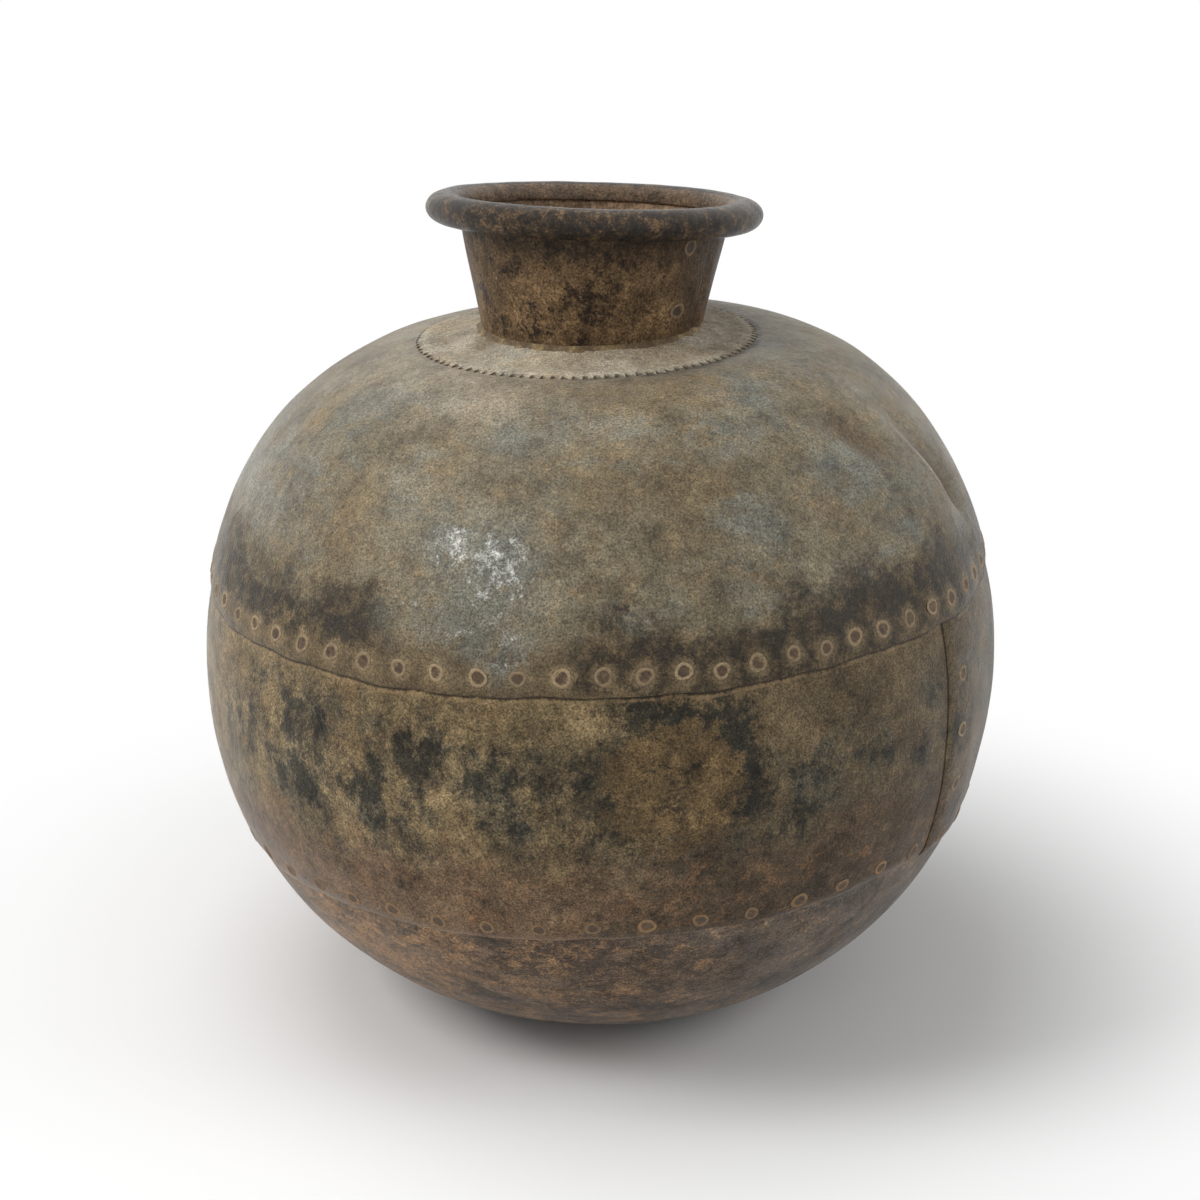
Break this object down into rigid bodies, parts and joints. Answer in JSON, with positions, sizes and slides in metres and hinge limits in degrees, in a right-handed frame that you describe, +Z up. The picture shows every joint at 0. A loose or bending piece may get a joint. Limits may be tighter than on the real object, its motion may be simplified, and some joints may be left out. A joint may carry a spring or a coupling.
{
  "type": "riveted iron water pot",
  "caption": "Round-bellied water pot of riveted sheet iron, with a toothed shoulder ring and a flared neck that ends in a beaded rim. Stands on a flattened foot.",
  "frame": {"origin": "on the ground, under the middle of the round foot", "axes": "+Z up along the axis of the belly, the pictured front towards -Y, +X to the viewer's right"},
  "size_m": [0.4507, 0.4506, 0.467],
  "materials": {
    "dome_iron": "weathered, dull khaki patina",
    "ring_iron": "weathered, dull khaki patina",
    "belt_iron": "blotched brown and black patina",
    "pan_iron": "rusty brown patina",
    "neck_iron": "dark speckled rust",
    "rim_iron": "dark, worn satin",
    "rivet_iron": "rubbed, pale edges",
    "braze": "rough, tarnished"
  },
  "bodies": {
    "root": {"bottom_pan": "pan_iron", "belt_plate_front": "belt_iron", "belt_plate_rear": "belt_iron", "dome_plate": "dome_iron", "shoulder_ring": "ring_iron", "neck_collar": "neck_iron", "neck_braze": "braze", "rim_bead": "rim_iron", "rim_hoop": "rim_iron", "neck_rivet_1": "rivet_iron", "neck_rivet_2": "rivet_iron", "lower_rivet_01": "rivet_iron", "lower_rivet_02": "rivet_iron", "lower_rivet_03": "rivet_iron", "lower_rivet_04": "rivet_iron", "lower_rivet_05": "rivet_iron", "lower_rivet_06": "rivet_iron", "lower_rivet_07": "rivet_iron", "lower_rivet_08": "rivet_iron", "lower_rivet_09": "rivet_iron", "lower_rivet_10": "rivet_iron", "lower_rivet_11": "rivet_iron", "lower_rivet_12": "rivet_iron", "lower_rivet_13": "rivet_iron", "lower_rivet_14": "rivet_iron", "lower_rivet_15": "rivet_iron", "lower_rivet_16": "rivet_iron", "lower_rivet_17": "rivet_iron", "lower_rivet_18": "rivet_iron", "lower_rivet_19": "rivet_iron", "lower_rivet_20": "rivet_iron", "lower_rivet_21": "rivet_iron", "lower_rivet_22": "rivet_iron", "lower_rivet_23": "rivet_iron", "lower_rivet_24": "rivet_iron", "lower_rivet_25": "rivet_iron", "lower_rivet_26": "rivet_iron", "lower_rivet_27": "rivet_iron", "lower_rivet_28": "rivet_iron", "lower_rivet_29": "rivet_iron", "lower_rivet_30": "rivet_iron", "lower_rivet_31": "rivet_iron", "lower_rivet_32": "rivet_iron", "lower_rivet_33": "rivet_iron", "lower_rivet_34": "rivet_iron", "lower_rivet_35": "rivet_iron", "lower_rivet_36": "rivet_iron", "lower_rivet_37": "rivet_iron", "lower_rivet_38": "rivet_iron", "lower_rivet_39": "rivet_iron", "lower_rivet_40": "rivet_iron", "lower_rivet_41": "rivet_iron", "lower_rivet_42": "rivet_iron", "lower_rivet_43": "rivet_iron", "lower_rivet_44": "rivet_iron", "lower_rivet_45": "rivet_iron", "lower_rivet_46": "rivet_iron", "lower_rivet_47": "rivet_iron", "lower_rivet_48": "rivet_iron"}
  },
  "joints": []
}
